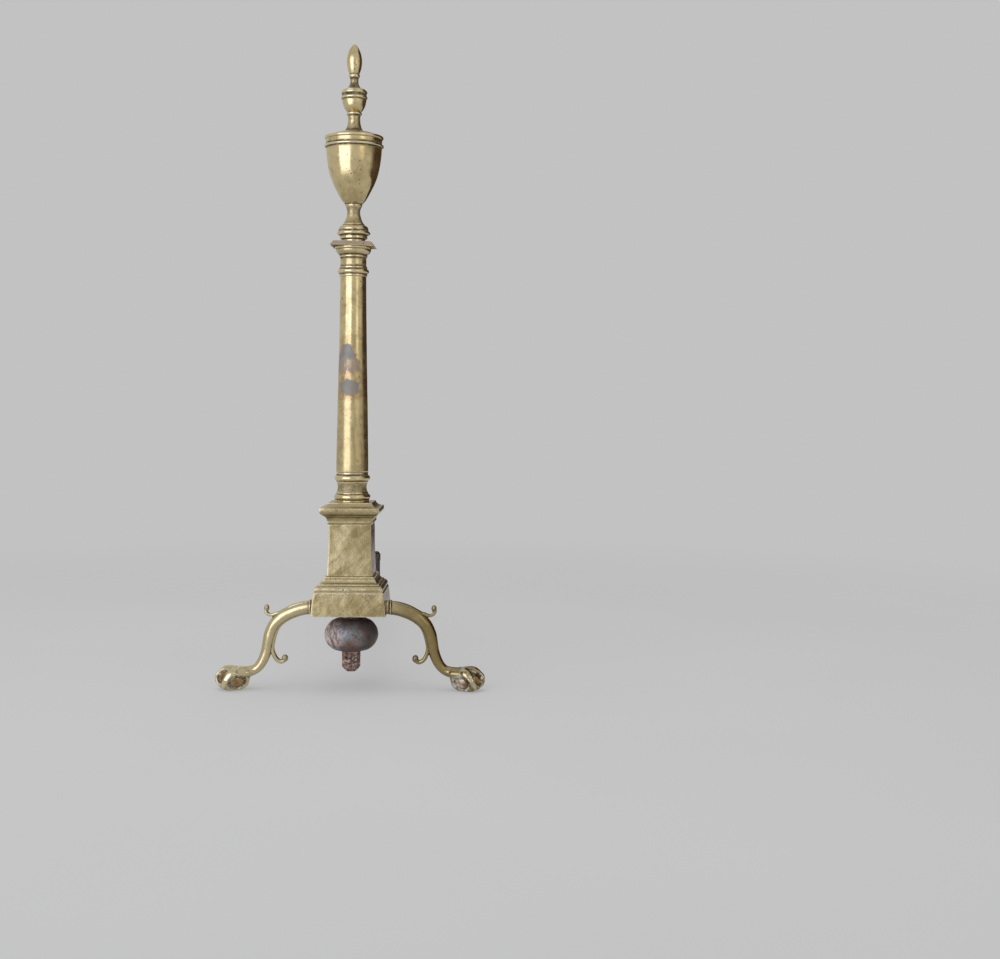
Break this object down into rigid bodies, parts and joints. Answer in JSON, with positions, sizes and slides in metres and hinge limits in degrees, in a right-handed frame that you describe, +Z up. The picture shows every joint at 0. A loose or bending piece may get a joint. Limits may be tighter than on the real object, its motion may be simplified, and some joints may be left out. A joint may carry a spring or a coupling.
{
  "type": "andiron",
  "caption": "Urn-topped brass andiron with square plinth, spurred claw-and-ball legs and an iron bar that holds logs off the hearth.",
  "frame": {"origin": "on the floor, under the middle of the whole andiron's box", "axes": "+Z up, -Y towards the room (the urn and plinth are at the front), +Y into the fireplace along the billet bar, +X to the right as seen from the room"},
  "size_m": [0.295, 0.6298, 0.7079],
  "materials": {
    "polished_brass": "aged satin polish, darker in the grooves",
    "cast_brass": "duller cast brass with fine pits and rubbed edges",
    "sheet_brass": "browned, heat-toned sheet",
    "wrought_iron": "rusty brown, pitted, forged",
    "dark_iron": "dark brown-grey with a bluish sheen"
  },
  "bodies": {
    "root": {"acorn_finial": "polished_brass", "small_urn": "polished_brass", "urn_lid": "polished_brass", "urn_body": "polished_brass", "urn_foot": "polished_brass", "abacus": "sheet_brass", "capital": "polished_brass", "column_shaft": "polished_brass", "column_base": "polished_brass", "plinth_cap": "cast_brass", "plinth_die": "cast_brass", "plinth_base": "cast_brass", "left_leg": "cast_brass", "right_leg": "cast_brass", "left_leg_nut": "wrought_iron", "right_leg_nut": "wrought_iron", "clamp_plate": "wrought_iron", "tie_rod": "wrought_iron", "drop_ball": "dark_iron", "billet_bar": "wrought_iron", "rear_leg": "wrought_iron", "log_stop": "wrought_iron"}
  },
  "joints": []
}
